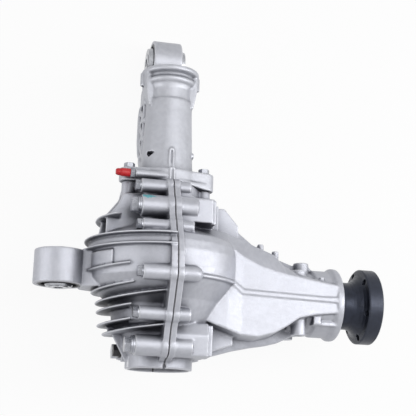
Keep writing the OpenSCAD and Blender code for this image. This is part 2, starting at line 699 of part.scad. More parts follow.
// Windows of the side panel, which leave its slanting ribs
window_depth = 5;
module bracket_pockets() for (i = [0 : rib_count - 1])
    let (y = tube_top_y + 10 + rib_step * i, w = rib_step - 9) {
    side_plate([[y, -13], [y + w, -13], [y + w, -24 - 4 * i]], -bracket_x - 1, -bracket_x + window_depth);
    if (i > 0) side_plate([[y - 4, -19], [y - 4, -28 - 4 * i], [y + w - 6, -34 - 4 * i]],
        -bracket_x - 1, -bracket_x + window_depth);
}

// Flats on both sides under the end ring, each with a lug
side_flat_half = 17;
module side_flats() intersection() {
    y_rod(tube_ring_r - 0.8, tube_end_y - 52, tube_end_y - 5, 0, 0);
    for (s = [-1, 1]) plan_plate([
        [0, tube_end_y - 52], [s * (tube_r - 2), tube_end_y - 52], [s * (tube_ring_r - 1.5), tube_end_y - 16],
        [s * (tube_ring_r - 1.5), tube_end_y - 5], [0, tube_end_y - 5]
    ], side_flat_half);
}

module axle_tube() color([0.76, 0.78, 0.82]) difference() {
    union() {
        turned_y(tube_profile);
        for (s = tube_bolt_spots) hull() {
            y_rod(s[2], tube_seat_y, tube_top_y, s[0], s[1], $fn = 32);
            y_rod(tube_flange_r - 5, tube_seat_y, tube_top_y, 0, 0, $fn = 48);
        }
        tube_bracket();
        x_rod(tube_ear_r, tube_ear_x0, tube_ear_x1, tube_ear_y, -tube_ear_drop);
        side_flats();
        deep_ear(0);
        for (s = [-1, 1]) y_rod(4.5, tube_end_y - 22, tube_end_y - 4, s * (tube_ring_r - 2.5), 0);
        looped_ridge();
        x_rod(4, 0, tube_r + 1.5, tube_top_y + 26, 12);
        x_rod(vent_boss_r, -vent_boss_x, -6, vent_y, vent_z);
    }
    y_rod(tube_bore_r, tube_seat_y - 20, tube_brg_y + 1, 0, 0);
    y_rod(tube_brg_r + fit, tube_brg_y, tube_end_y + 1, 0, 0);
    tube_bolt_holes(tube_bolt_r + bolt_clear);
    x_rod(bush_r + fit, tube_ear_x0 - 1, tube_ear_x1 + 1, tube_ear_y, -tube_ear_drop);
    bracket_pockets();
    for (s = [-1, 1]) y_rod(2.2, tube_end_y - 23, tube_end_y - 12, s * (tube_ring_r - 2.5), 0);
    x_rod(3 + fit, -vent_boss_x - 1, -28, vent_y, vent_z);
    translate([0, tube_top_y + 18, 10]) linear_extrude(height = 30) polygon([[-28, 0], [-20, 6.5], [-30, 8]]);
}

// Long loop cast on top of the tube, which runs down over the flange's rim
module looped_ridge() {
    top = tube_top_y + 29;
    difference() {
        union() {
            block([-ridge_half, tube_top_y - 2, 0], [ridge_half, top - ridge_half, tube_r + 4]);
            translate([0, top - ridge_half, 0]) cylinder(r = ridge_half, h = tube_r + 4);
            block([-ridge_half, tube_seat_y, 0], [ridge_half, tube_top_y, tube_flange_r + 1.6]);
        }
        block([-ridge_slot, tube_top_y + 1, tube_r + 1.8], [ridge_slot, top - ridge_half, tube_r + 5]);
        block([-ridge_slot, tube_seat_y - 1, tube_flange_r - 0.2],
            [ridge_slot, tube_top_y - 2, tube_flange_r + 3]);
    }
}

// O-ring under the tube's flange, in the corner of its pilot
module tube_gasket() color([0.1, 0.1, 0.1]) turned_y([
    [pilot_r - 4, tube_seat_y - pilot_len + 0.02], [pilot_r - fit, tube_seat_y - pilot_len + 0.02],
    [pilot_r - fit, tube_seat_y - pilot_len + 0.48], [pilot_r - 4, tube_seat_y - pilot_len + 0.48]
]);

module tube_bolts() color("gainsboro") for (s = tube_bolt_spots)
    translate([s[0], tube_top_y, s[1]]) rotate([-90, 0, 0])
        flange_bolt(tube_bolt_r, tube_flange_t + tube_bolt_depth - 2);

// Vent on the tube's flange
vent_y = tube_seat_y + 7;
vent_z = 39;
vent_boss_r = 5.5;
vent_boss_x = 48;
module vent_fitting() color("silver") {
    x_rod(3, -vent_boss_x - 1, -29, vent_y, vent_z);
    translate([-vent_boss_x, vent_y, vent_z]) rotate([0, -90, 0]) hex(6, 5.5);
    x_rod(3.2, -vent_boss_x - 12, -vent_boss_x - 4, vent_y, vent_z);
}
module vent_cap() color([0.82, 0.1, 0.12]) translate([-vent_boss_x - 5.7, vent_y, vent_z]) rotate([0, -90, 0])
    difference() {
        rotate_extrude() polygon([[0, 0], [5.4, 0], [5.4, 11], [4.6, 13], [4.6, 16], [3.4, 18.5], [0, 18.5]]);
        translate([0, 0, -1]) cylinder(r = 3.25, h = 8);
    }

// Oil plugs, with a hexagon head
module oil_plug(af) {
    translate([0, 0, -9]) cylinder(r = plug_r, h = 10);
    cylinder(r = plug_r + 3, h = 2.5);
    translate([0, 0, 2]) hex(af, 8);
}
module drain_plug() color([0.1, 0.1, 0.11])
    translate([-drain_x, drain_y, -drain_z]) rotate([0, -90, 0]) oil_plug(7);
module fill_plug() color([0.1, 0.1, 0.11])
    translate([-fill_x, fill_y, -fill_z]) rotate([0, -90, 0]) oil_plug(7);

// Bushes. Each is built along Z with its ear's middle at 0
module bush_sleeve(len) translate([0, 0, -len / 2]) ring(bush_r, bush_rubber_r, len);
bush_web_r = 4;
module bush_rubber(len, flange_r) difference() {
    translate([0, 0, -len / 2 + 0.5]) cylinder(r = bush_rubber_r - eps, h = len - 1);
    translate([0, 0, -len]) cylinder(r = bush_core_r + eps, h = 2 * len);
    for (a = [0, 180]) rotate([0, 0, a]) translate([0, 0, -len]) intersection() {
        ring(bush_rubber_r - 2.5, bush_core_r + bush_web_r, 2 * len);
        linear_extrude(height = 2 * len) polygon([[0, 0], [60, -38], [60, 38]]);
    }
    for (s = [-1, 1]) translate([0, 0, s * len / 2 - 2])
        ring(min(flange_r + 3, bush_rubber_r - 2), flange_r + 0.6, 4);
}
module bush_core(len, flange_r, stand_out) difference() {
    union() {
        translate([0, 0, -len / 2 - stand_out]) cylinder(r = bush_core_r, h = len + 2 * stand_out);
        for (s = [0, 1]) mirror([0, 0, s]) translate([0, 0, len / 2])
            cylinder(r1 = flange_r, r2 = flange_r - 1.5, h = stand_out - 0.8);
    }
    translate([0, 0, -len]) cylinder(r = ear_bolt_r, h = 2 * len);
}
module at_front_ear() translate([-front_ear_x, front_ear_mid_y, 0]) rotate([-90, 0, 0]) children();
module at_tube_ear() translate([(tube_ear_x0 + tube_ear_x1) / 2, tube_ear_y, -tube_ear_drop])
    rotate([0, 90, 0]) children();
module front_ear_outer_sleeve() color("dimgray") at_front_ear() bush_sleeve(front_ear_len);
module front_ear_rubber() color([0.07, 0.07, 0.08]) at_front_ear()
    bush_rubber(front_ear_len, front_core_flange_r);
module front_ear_inner_sleeve() color("silver") at_front_ear()
    bush_core(front_ear_len, front_core_flange_r, front_core_out);
module tube_ear_outer_sleeve() color("dimgray") at_tube_ear() bush_sleeve(tube_ear_len);
module tube_ear_rubber() color([0.07, 0.07, 0.08]) at_tube_ear()
    bush_rubber(tube_ear_len, tube_core_flange_r);
module tube_ear_inner_sleeve() color("silver") at_tube_ear()
    bush_core(tube_ear_len, tube_core_flange_r, tube_core_out);

// Shaft seals: a steel-backed ring with a lip, built along Z from its outer face
module shaft_seal(r_out, r_in, w) rotate_extrude() polygon([
    [r_in + 4, 0], [r_out, 0], [r_out, w], [r_out - 2, w], [r_out - 2, 3], [r_in + 5, 3],
    [r_in + 3.5, w - 1], [r_in, w - 2], [r_in, w - 3.5], [r_in + 2.5, 2]
]);
left_seal_r = 20;
module left_output_seal() color([0.2, 0.12, 0.1]) translate([0, mouth_depth + 0.5, 0]) rotate([-90, 0, 0])
    shaft_seal(seal_bore_r - eps, left_seal_r, 10);
module tube_end_seal() color([0.12, 0.12, 0.12]) translate([0, tube_end_y - 0.3, 0]) rotate([90, 0, 0])
    shaft_seal(tube_brg_r, tube_shaft_end_r + 0.05, 5.6);
module pinion_seal() color([0.12, 0.12, 0.12]) translate([snout_seal_x + 11, pinion_y, 0]) rotate([0, -90, 0])
    shaft_seal(snout_seal_r, comp_journal_r + 0.05, 10.5);

// Tapered roller bearings. Values: bore radius, cup radius, width, mean roller radius, roller
// radius, number of rollers and slope. They are built along Z with the wide end up
carrier_orbit = (carrier_bore_r + carrier_cup_r) / 2 + 0.3;
carrier_brg = [carrier_bore_r, carrier_cup_r, carrier_brg_w, carrier_orbit, 3.9, 18, 12];
head_brg = [pinion_shaft_r, head_cup_r, head_brg_w, (pinion_shaft_r + head_cup_r) / 2, 4.6, 14, 13];
tail_brg = [tail_bore_r, tail_cup_r, tail_brg_w, (tail_bore_r + tail_cup_r) / 2, 4, 13, 12];
race_clear = 0.06;
rib = 2.2;

function axis_r(b, z) = b[3] + (z - b[2] / 2) * tan(b[6]);
function cup_r(b, z) = axis_r(b, z) + (b[4] + race_clear) / cos(b[6]);
function cone_r(b, z) = axis_r(b, z) - (b[4] + race_clear) / cos(b[6]);
function roller_len(b) = (b[2] - 2 * rib - 2 * b[4] * sin(b[6])) / cos(b[6]) - 0.3;

module taper_cup(b) rotate_extrude() polygon([
    [b[1], 0], [b[1], b[2]], [cup_r(b, b[2]), b[2]], [cup_r(b, 0), 0]
]);
module taper_cone(b) rotate_extrude() polygon([
    [b[0], 0], [cone_r(b, 0) + 1.2, 0], [cone_r(b, rib) + 1.2, rib], [cone_r(b, rib), rib],
    [cone_r(b, b[2] - rib), b[2] - rib], [cone_r(b, b[2] - rib) + 1.5, b[2] - rib],
    [cone_r(b, b[2]) + 1.5, b[2]], [b[0], b[2]]
]);
module taper_rollers(b, grow) for (i = [0 : b[5] - 1]) rotate([0, 0, i * 360 / b[5]])
    translate([b[3], 0, b[2] / 2]) rotate([0, b[6], 0])
        cylinder(r = b[4] + grow, h = roller_len(b) + 4 * grow, center = true);
module roller_set(b) {
    taper_rollers(b, 0);
    difference() {
        rotate_extrude() polygon([
            [axis_r(b, 0.6) - 0.2, 0.6], [axis_r(b, 0.6) + 1, 0.6], [axis_r(b, b[2] - 0.6) + 1, b[2] - 0.6],
            [axis_r(b, b[2] - 0.6) - 0.2, b[2] - 0.6]
        ]);
        taper_rollers(b, 0.15);
    }
}

module at_left_brg() translate([0, left_brg_y, 0]) rotate([-90, 0, 0]) children();
module at_right_brg() translate([0, right_brg_y + carrier_brg_w, 0]) rotate([90, 0, 0]) children();
module at_head_brg() translate([head_brg_x + head_brg_w, pinion_y, 0]) rotate([0, -90, 0]) children();
module at_tail_brg() translate([tail_brg_x, pinion_y, 0]) rotate([0, 90, 0]) children();
module left_carrier_cup() color("lightgray") at_left_brg() taper_cup(carrier_brg);
module left_carrier_cone() color("lightgray") at_left_brg() taper_cone(carrier_brg);
module left_carrier_rollers() color("silver") at_left_brg() roller_set(carrier_brg);
module right_carrier_cup() color("lightgray") at_right_brg() taper_cup(carrier_brg);
module right_carrier_cone() color("lightgray") at_right_brg() taper_cone(carrier_brg);
module right_carrier_rollers() color("silver") at_right_brg() roller_set(carrier_brg);
module pinion_head_cup() color("lightgray") at_head_brg() taper_cup(head_brg);
module pinion_head_cone() color("lightgray") at_head_brg() taper_cone(head_brg);
module pinion_head_rollers() color("silver") at_head_brg() roller_set(head_brg);
module pinion_tail_cup() color("lightgray") at_tail_brg() taper_cup(tail_brg);
module pinion_tail_cone() color("lightgray") at_tail_brg() taper_cone(tail_brg);
module pinion_tail_rollers() color("silver") at_tail_brg() roller_set(tail_brg);

module carrier_shims() color("goldenrod") for (y = [left_seat_y, right_seat_y - shim_t])
    translate([0, y, 0]) rotate([-90, 0, 0]) ring(carrier_cup_r, carrier_cup_r - 5, shim_t);

// Ball bearing at the tube's end
tube_shaft_end_r = 15;
ball_r = 4;
ball_orbit = (tube_shaft_end_r + tube_brg_r) / 2;
ball_count = 11;
module ball_race(r_out, r_in) translate([0, tube_brg_y, 0]) rotate([-90, 0, 0]) difference() {
    ring(r_out, r_in, tube_brg_w);
    translate([0, 0, tube_brg_w / 2]) rotate_extrude()
        translate([ball_orbit, 0]) circle(r = ball_r + race_clear);
}
module tube_bearing_outer() color("lightgray") ball_race(tube_brg_r, ball_orbit + 2.4);
module tube_bearing_inner() color("lightgray") ball_race(ball_orbit - 2.4, tube_shaft_end_r);
module tube_bearing_balls() color("silver") for (i = [0 : ball_count - 1])
    translate([0, tube_brg_y + tube_brg_w / 2, 0]) rotate([0, i * 360 / ball_count, 0])
        translate([ball_orbit, 0, 0]) sphere(r = ball_r);

// Bevel gear teeth

function inv(a) = tan(a) - a * PI / 180;
// Half thickness of a tooth at a height h above the pitch line, as an arc length at that height.
// nv is the equivalent number of teeth, m the module, a the pressure angle, x the profile shift
function tooth_half(h, nv, m, a, x, slack) =
    let (rp = m * nv / 2, r = max(rp + h, rp * cos(a) + 0.001), ar = acos(rp * cos(a) / r))
    r * ((PI / 2 + 2 * x * tan(a)) / nv + inv(a) - inv(ar)) - slack / 2;

// Crown of bevel teeth with its apex at 0 and its back towards +Z.
// n teeth, pitch cone angle g, outer cone distance A, face width, module, pressure angle, shift,
// addendum, dedendum, slack, turn of the curved teeth, number of steps across the face,
// turn of the first tooth, and radius and distance of the back and front rings
module bevel_crown(n, g, A, face, m, a, x, add, ded, slack, turn, steps, first, back, front) {
    nv = n / cos(g);
    heights = [-ded, -ded * 0.45, add * 0.1, add];
    profile = concat(
        [for (i = [0 : 3]) [heights[i], -1]],
        [for (i = [3 : -1 : 0]) [heights[i], 1]]
    );
    count = n * 8;
    function point(k, q, j, t) = let (
        h = profile[j][0], cone = g + atan(h / A), r = A * sin(cone),
        ang = first + k * 360 / n + profile[j][1] * tooth_half(h, nv, m, a, x, slack) / r * 180 / PI
            + turn * (t - 0.5)
    ) [q * A * sin(cone) * cos(ang), q * A * sin(cone) * sin(ang), q * A * cos(cone)];
    rows = concat(
        [[for (k = [0 : n - 1]) for (j = [0 : 7]) let (ang = first + (k + (j - 3.5) / 8) * 360 / n + turn / 2)
            [back[0] * cos(ang), back[0] * sin(ang), back[1]]]],
        [for (s = [0 : steps]) let (t = 1 - s / steps, q = 1 - (1 - t) * face / A)
            [for (k = [0 : n - 1]) for (j = [0 : 7]) point(k, q, j, t)]],
        [[for (k = [0 : n - 1]) for (j = [0 : 7]) let (ang = first + (k + (j - 3.5) / 8) * 360 / n - turn / 2)
            [front[0] * cos(ang), front[0] * sin(ang), front[1]]]]
    );
    total = len(rows);
    polyhedron(
        points = [for (r = rows) for (p = r) p],
        faces = [for (r = [0 : total - 1]) for (i = [0 : count - 1]) for (half = [0, 1])
            let (a0 = r * count + i, a1 = r * count + (i + 1) % count,
                b0 = ((r + 1) % total) * count + i, b1 = ((r + 1) % total) * count + (i + 1) % count)
            half == 0 ? [a0, a1, b1] : [a0, b1, b0]],
        convexity = 10
    );
}

// Final drive
drive_m = 2 * ring_pitch_r / ring_teeth;
ring_cone = atan(ratio);
drive_A = ring_pitch_r / sin(ring_cone);
drive_slack = 0.28;
drive_shift = 0.42;
ring_bolt_r = 5;
ring_bolt_pcr = ring_tip_r - 17;
ring_bolts = 10;

module at_apex_ring() translate([0, pinion_y, 0]) rotate([-90, 0, 0]) children();
module ring_gear() color([0.55, 0.56, 0.58]) at_apex_ring() {
    back_z = ring_back_y - pinion_y;
    difference() {
        union() {
            bevel_crown(ring_teeth, ring_cone, drive_A, ring_face, drive_m, 20, -drive_shift,
                0.43 * drive_m, 1.458 * drive_m, drive_slack, spiral_turn, 4, 180 / ring_teeth,
                [ring_tip_r - 0.6, back_z - ring_back + 2], [diff_case_r + 3, back_z - ring_back + 2]);
            translate([0, 0, back_z - ring_back]) cylinder(r = ring_tip_r, h = ring_back);
        }
        translate([0, 0, -1]) cylinder(r = diff_case_r + fit, h = back_z + 2);
        for (i = [0 : ring_bolts - 1]) rotate([0, 0, (i + 0.5) * 360 / ring_bolts])
            translate([ring_bolt_pcr, 0, back_z - ring_back + 0.5])
                cylinder(r = ring_bolt_r + bolt_clear, h = ring_back + 1);
    }
}

module at_apex_pinion() translate([0, pinion_y, 0]) rotate([0, 90, 0]) children();
module drive_pinion() color([0.55, 0.56, 0.58]) at_apex_pinion() {
    back_x = ring_pitch_r + 4;
    bevel_crown(pinion_teeth, 90 - ring_cone, drive_A, ring_face, drive_m, 20, drive_shift,
        1.27 * drive_m, 0.618 * drive_m, drive_slack, -spiral_turn * ratio, 8, 90,
        [pinion_pitch_r - 2, back_x], [12, back_x]);
    rotate_extrude() polygon([
        [0, ring_pitch_r - ring_face - 0.5], [15, ring_pitch_r - ring_face - 0.5], [20, back_x - 1],
        [pinion_pitch_r - 1.5, back_x - 1], [pinion_pitch_r - 1.5, head_brg_x],
        [pinion_shaft_r - fit, head_brg_x], [pinion_shaft_r - fit, head_brg_x + head_brg_w + 1],
        [pinion_shaft_r - 1.5, head_brg_x + head_brg_w + 2], [pinion_shaft_r - 1.5, tail_brg_x - 14],
        [tail_bore_r - fit, tail_brg_x - 10], [tail_bore_r - fit, comp_nut_x], [11, comp_nut_x + 1],
        [11, comp_nut_x + 16], [10, comp_nut_x + 17], [0, comp_nut_x + 17]
    ]);
}

module crush_sleeve() color("gray") turned_x([
    [tail_bore_r + 0.6, tail_brg_x - 9.5], [tail_bore_r + 3, tail_brg_x - 9.5],
    [tail_bore_r + 4.5, tail_brg_x - 5], [tail_bore_r + 3, tail_brg_x - 0.1],
    [tail_bore_r + 0.6, tail_brg_x - 0.1], [tail_bore_r + 2.2, tail_brg_x - 5]
]);

// Companion flange
comp_nut_set = 12;
comp_nut_x = comp_back_x - comp_nut_set;
comp_holes = 6;
module companion_flange() color([0.12, 0.13, 0.16]) difference() {
    turned_x([
        [tail_bore_r + fit, tail_brg_x + tail_brg_w], [comp_journal_r - 4, tail_brg_x + tail_brg_w],
        [comp_journal_r, tail_brg_x + tail_brg_w + 3], [comp_journal_r, snout_end_x - 1],
        [comp_hub_r - 2.5, snout_end_x + 2.5], [comp_hub_r - 0.7, snout_end_x + 4.5],
        [comp_hub_r, snout_end_x + 8], [comp_hub_r, comp_back_x - 15], [comp_hub_r + 1, comp_back_x - 11],
        [comp_hub_r + 3.2, comp_back_x - 7], [comp_hub_r + 6.8, comp_back_x - 3.4],
        [comp_hub_r + 11, comp_back_x - 1], [comp_r - 1.5, comp_back_x],
        [comp_r, comp_back_x + 1.5], [comp_r, comp_face_x - 1.5], [comp_r - 1.5, comp_face_x],
        [comp_pcr - 8, comp_face_x], [comp_pcr - 8, comp_face_x - 6], [24, comp_face_x - 9],
        [24, comp_nut_x], [tail_bore_r + fit, comp_nut_x]
    ]);
    for (i = [0 : comp_holes - 1]) translate([comp_back_x - 14, pinion_y, 0])
        rotate([48 + 360 / comp_holes * i, 0, 0]) translate([0, comp_pcr, 0]) rotate([0, 90, 0])
            cylinder(r = comp_hole_r, h = comp_t + 16);
}
module dust_deflector() color([0.1, 0.1, 0.12]) turned_x([
    [comp_journal_r + fit, snout_end_x - 4.5], [snout_seal_r - 1, snout_end_x - 4.5],
    [snout_seal_r + 1, snout_end_x - 1.5], [snout_seal_r - 0.5, snout_end_x - 1.5],
    [snout_seal_r - 2, snout_end_x - 3], [comp_journal_r + fit, snout_end_x - 3]
]);
module pinion_nut() color("silver") translate([comp_nut_x + 0.1, pinion_y, 0]) rotate([0, 90, 0])
difference() {
    union() {
        cylinder(r = 20, h = 3);
        hex(16, 13);
    }
    translate([0, 0, -1]) cylinder(r = tail_bore_r + 0.1, h = 2.2);
    translate([0, 0, -1]) cylinder(r = 11 + fit, h = 16);
}

// Differential case
washer_gap = 1.5;
side_thrust = side_pitch_r * spider_teeth / side_teeth + 12.5;
spider_thrust = side_pitch_r + 8.4;
side_hub_r = spline_r + 6;
trunnion_bore_r = spline_r + 3.5;
spider_washer_r = 2.5 * cross_pin_r;
module at_cross() translate([0, spider_y, 0]) children();
module diff_case() color([0.45, 0.46, 0.48]) difference() {
    turned_y([
        [0, left_brg_y - 2], [carrier_bore_r - fit, left_brg_y - 2],
        [carrier_bore_r - fit, left_brg_y + carrier_brg_w], [carrier_bore_r + 5, left_brg_y + carrier_brg_w],
        [carrier_bore_r + 5, 47], [diff_case_r, diff_case_r + 10], [diff_case_r, ring_back_y],
        [ring_tip_r - 6, ring_back_y], [ring_tip_r - 6, flange_back_y], [diff_case_r + 4, flange_back_y],
        [diff_case_r, flange_back_y + 4], [carrier_bore_r + 7, right_brg_y - 4],
        [carrier_bore_r + 5, right_brg_y], [carrier_bore_r - fit, right_brg_y],
        [carrier_bore_r - fit, right_seat_y + 1], [0, right_seat_y + 1]
    ]);
    at_cross() {
        y_rod(side_pitch_r + 3, -side_thrust - washer_gap, side_thrust + washer_gap, 0, 0);
        translate([0, 0, -spider_thrust - washer_gap])
            cylinder(r = spider_washer_r + 3, h = 2 * (spider_thrust + washer_gap));
        y_rod(side_hub_r + 0.05, -side_thrust - 13, side_thrust + 13, 0, 0);
        translate([0, 0, -diff_case_r - 1]) cylinder(r = cross_pin_r + fit, h = 2 * diff_case_r + 2);
        block([-diff_case_r - 2, -17, -25], [diff_case_r + 2, 17, 25]);
        x_rod(lock_r + fit, -lock_half - 30, lock_half + 30, 0, lock_z);
    }
    y_rod(trunnion_bore_r, 0, right_seat_y + 10, 0, 0);
    for (i = [0 : ring_bolts - 1]) rotate([0, (i + 0.5) * 360 / ring_bolts, 0])
        y_rod(ring_bolt_r + bolt_clear, ring_back_y - 1, flange_back_y + 1, ring_bolt_pcr, 0);
}

module ring_gear_bolts() color("silver") for (i = [0 : ring_bolts - 1])
    rotate([0, (i + 0.5) * 360 / ring_bolts, 0]) translate([ring_bolt_pcr, flange_back_y, 0])
        rotate([-90, 0, 0])
            flange_bolt(ring_bolt_r, flange_back_y - ring_back_y + ring_back - 1.5);

lock_r = 2.5;
lock_z = diff_case_r - 6.5;
lock_half = 17;
module cross_pin() color("silver") at_cross() difference() {
    translate([0, 0, -diff_case_r + 1]) cylinder(r = cross_pin_r, h = 2 * diff_case_r - 2);
    x_rod(lock_r + fit, -20, 20, 0, lock_z);
}
module cross_pin_lock() color("gray") at_cross() x_rod(lock_r, -lock_half, lock_half, 0, lock_z);

// Spider and side gears
side_m = 2 * side_pitch_r / side_teeth;
side_cone = atan(side_teeth / spider_teeth);
side_A = side_pitch_r / sin(side_cone);
side_slack = 0.2;
side_shift = 0.2;
spider_pitch_r = side_pitch_r * spider_teeth / side_teeth;

module spider_gear() difference() {
    union() {
        bevel_crown(spider_teeth, 90 - side_cone, side_A, side_face, side_m, 25, side_shift,
            1.0 * side_m, 0.8 * side_m, side_slack, 0, 1, 0,
            [spider_pitch_r - 0.5, side_pitch_r + 4], [cross_pin_r + 1.5, side_pitch_r + 4]);
        translate([0, 0, side_pitch_r + 3])
            cylinder(r = spider_pitch_r, h = spider_thrust - side_pitch_r - 3);
        translate([0, 0, side_pitch_r - side_face + 1]) cylinder(r = cross_pin_r + 2, h = side_face);
    }
    cylinder(r = cross_pin_r + 0.05, h = 60);
}
module upper_spider_gear() color([0.6, 0.6, 0.62]) at_cross() spider_gear();
module lower_spider_gear() color([0.6, 0.6, 0.62]) at_cross() mirror([0, 0, 1]) spider_gear();
module spider_washer() translate([0, 0, spider_thrust + 0.1])
    ring(spider_washer_r, cross_pin_r + 0.1, washer_gap - 0.2);
module upper_spider_washer() color("goldenrod") at_cross() spider_washer();
module lower_spider_washer() color("goldenrod") at_cross() mirror([0, 0, 1]) spider_washer();

module side_gear() difference() {
    union() {
        bevel_crown(side_teeth, side_cone, side_A, side_face, side_m, 25, -side_shift,
            0.6 * side_m, 1.2 * side_m, side_slack, 0, 1, 0,
            [side_pitch_r - 1, spider_pitch_r + 6], [spline_r + 1.5, spider_pitch_r + 6]);
        translate([0, 0, spider_pitch_r + 5])
            cylinder(r = side_pitch_r - 0.5, h = side_thrust - spider_pitch_r - 5);
        translate([0, 0, 12]) cylinder(r = spline_r + 2.4, h = 12);
        translate([0, 0, side_thrust - 1]) cylinder(r = side_hub_r, h = 13);
    }
    cylinder(r = spline_r, h = 60);
}
module at_left_side() at_cross() rotate([90, 0, 0]) rotate([0, 0, 90]) children();
module at_right_side() at_cross() rotate([-90, 0, 0]) rotate([0, 0, 90]) children();
module left_side_gear() color([0.6, 0.6, 0.62]) at_left_side() side_gear();
module right_side_gear() color([0.6, 0.6, 0.62]) at_right_side() side_gear();
module side_washer() translate([0, 0, side_thrust + 0.1])
    ring(side_pitch_r, side_hub_r + 0.1, washer_gap - 0.2);
module left_side_washer() color("goldenrod") at_left_side() side_washer();
module right_side_washer() color("goldenrod") at_right_side() side_washer();

// Intermediate shaft through the axle tube, with a socket for the right axle
shaft_r = 14;
shaft_start_y = spider_y + 10.5;
socket_r = 11;
socket_depth = 40;
module intermediate_shaft() color([0.5, 0.5, 0.52]) difference() {
    turned_y([
        [0, shaft_start_y], [spline_r - 2, shaft_start_y], [spline_r - 2, spider_y + 11.8],
        [spline_r - fit, spider_y + 11.8], [spline_r - fit, spider_y + side_thrust + 12],
        [shaft_r, spider_y + side_thrust + 16], [shaft_r, tube_brg_y - 4], [shaft_r + 2.5, tube_brg_y - 3],
        [shaft_r + 2.5, tube_brg_y], [tube_shaft_end_r - fit, tube_brg_y],
        [tube_shaft_end_r - fit, tube_end_y - 2], [tube_shaft_end_r - 1, tube_end_y - 1], [0, tube_end_y - 1]
    ]);
    y_rod(socket_r, tube_end_y - socket_depth, tube_end_y, 0, 0);
}
module shaft_circlip() color("gray") difference() {
    translate([0, shaft_start_y + 0.2, 0]) rotate([-90, 0, 0]) ring(spline_r + 1, spline_r - 1.97, 1);
    block([-2, 0, -30], [2, 400, 0]);
}

case_cover();
carrier_housing();
axle_tube();
case_gasket();
tube_gasket();
dowel_pins();
cover_bolts();
bearing_clamp_bolts();
clamp_bolt_washers();
tube_bolts();
drain_plug();
fill_plug();
vent_fitting();
vent_cap();
front_ear_outer_sleeve();
front_ear_rubber();
front_ear_inner_sleeve();
tube_ear_outer_sleeve();
tube_ear_rubber();
tube_ear_inner_sleeve();
left_output_seal();
tube_end_seal();
pinion_seal();
left_carrier_cup();
left_carrier_cone();
left_carrier_rollers();
right_carrier_cup();
right_carrier_cone();
right_carrier_rollers();
carrier_shims();
pinion_head_cup();
pinion_head_cone();
pinion_head_rollers();
pinion_tail_cup();
pinion_tail_cone();
pinion_tail_rollers();
tube_bearing_outer();
tube_bearing_inner();
tube_bearing_balls();
drive_pinion();
crush_sleeve();
companion_flange();
dust_deflector();
pinion_nut();
diff_case();
ring_gear();
ring_gear_bolts();
cross_pin();
cross_pin_lock();
upper_spider_gear();
lower_spider_gear();
upper_spider_washer();
lower_spider_washer();
left_side_gear();
right_side_gear();
left_side_washer();
right_side_washer();
intermediate_shaft();
shaft_circlip();
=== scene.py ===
"""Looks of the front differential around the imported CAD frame. Sizes are in metres."""

import json
import math

import bpy
from mathutils import Matrix, Vector

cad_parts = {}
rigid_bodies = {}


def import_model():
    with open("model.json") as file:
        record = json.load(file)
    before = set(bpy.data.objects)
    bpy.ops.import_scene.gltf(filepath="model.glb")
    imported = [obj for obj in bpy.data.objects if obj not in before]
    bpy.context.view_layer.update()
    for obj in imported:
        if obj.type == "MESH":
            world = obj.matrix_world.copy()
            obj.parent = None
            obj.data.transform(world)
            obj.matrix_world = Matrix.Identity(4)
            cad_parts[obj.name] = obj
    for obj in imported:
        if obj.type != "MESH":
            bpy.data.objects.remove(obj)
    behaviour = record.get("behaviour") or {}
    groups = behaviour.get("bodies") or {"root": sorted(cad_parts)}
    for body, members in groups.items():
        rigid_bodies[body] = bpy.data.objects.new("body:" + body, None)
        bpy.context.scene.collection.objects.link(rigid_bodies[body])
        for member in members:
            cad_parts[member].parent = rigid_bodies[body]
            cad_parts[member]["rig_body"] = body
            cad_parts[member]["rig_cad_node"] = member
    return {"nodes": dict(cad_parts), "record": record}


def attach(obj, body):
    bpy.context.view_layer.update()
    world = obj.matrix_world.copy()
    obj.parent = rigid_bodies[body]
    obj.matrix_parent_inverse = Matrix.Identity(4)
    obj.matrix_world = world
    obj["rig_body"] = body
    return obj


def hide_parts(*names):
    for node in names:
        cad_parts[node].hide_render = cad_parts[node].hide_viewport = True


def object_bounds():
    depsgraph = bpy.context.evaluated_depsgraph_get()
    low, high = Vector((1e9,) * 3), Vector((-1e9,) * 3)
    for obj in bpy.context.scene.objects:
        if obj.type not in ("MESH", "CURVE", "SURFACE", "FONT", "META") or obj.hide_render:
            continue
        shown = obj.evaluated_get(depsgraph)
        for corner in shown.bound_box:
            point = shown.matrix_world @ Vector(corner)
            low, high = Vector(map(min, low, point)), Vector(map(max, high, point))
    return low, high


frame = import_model()
cad_low, cad_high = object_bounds()

MM = 0.001

# Machined faces and axes of the castings, as in the CAD source
PINION_Y = 97 * MM
TUBE_END_Y = 399 * MM
SNOUT_END_X = 233.7 * MM
BOLT_SEAT_X = -41 * MM

# Camera of the photograph, fitted to the object's outline. Lens and sensor are in millimetres.
CAMERA_AT = (-227.9 * MM, -85.9 * MM, 1265.8 * MM)
CAMERA_RIGHT = (0.9733, 0.0312, 0.2274)
CAMERA_UP = (-0.0812, 0.9734, 0.2143)
CAMERA_BACK = (-0.2147, -0.2270, 0.9499)
CAMERA_LENS = 86.73
SENSOR_WIDTH = 36
CLIP_NEAR = 0.01
CLIP_FAR = 50


# Node graphs


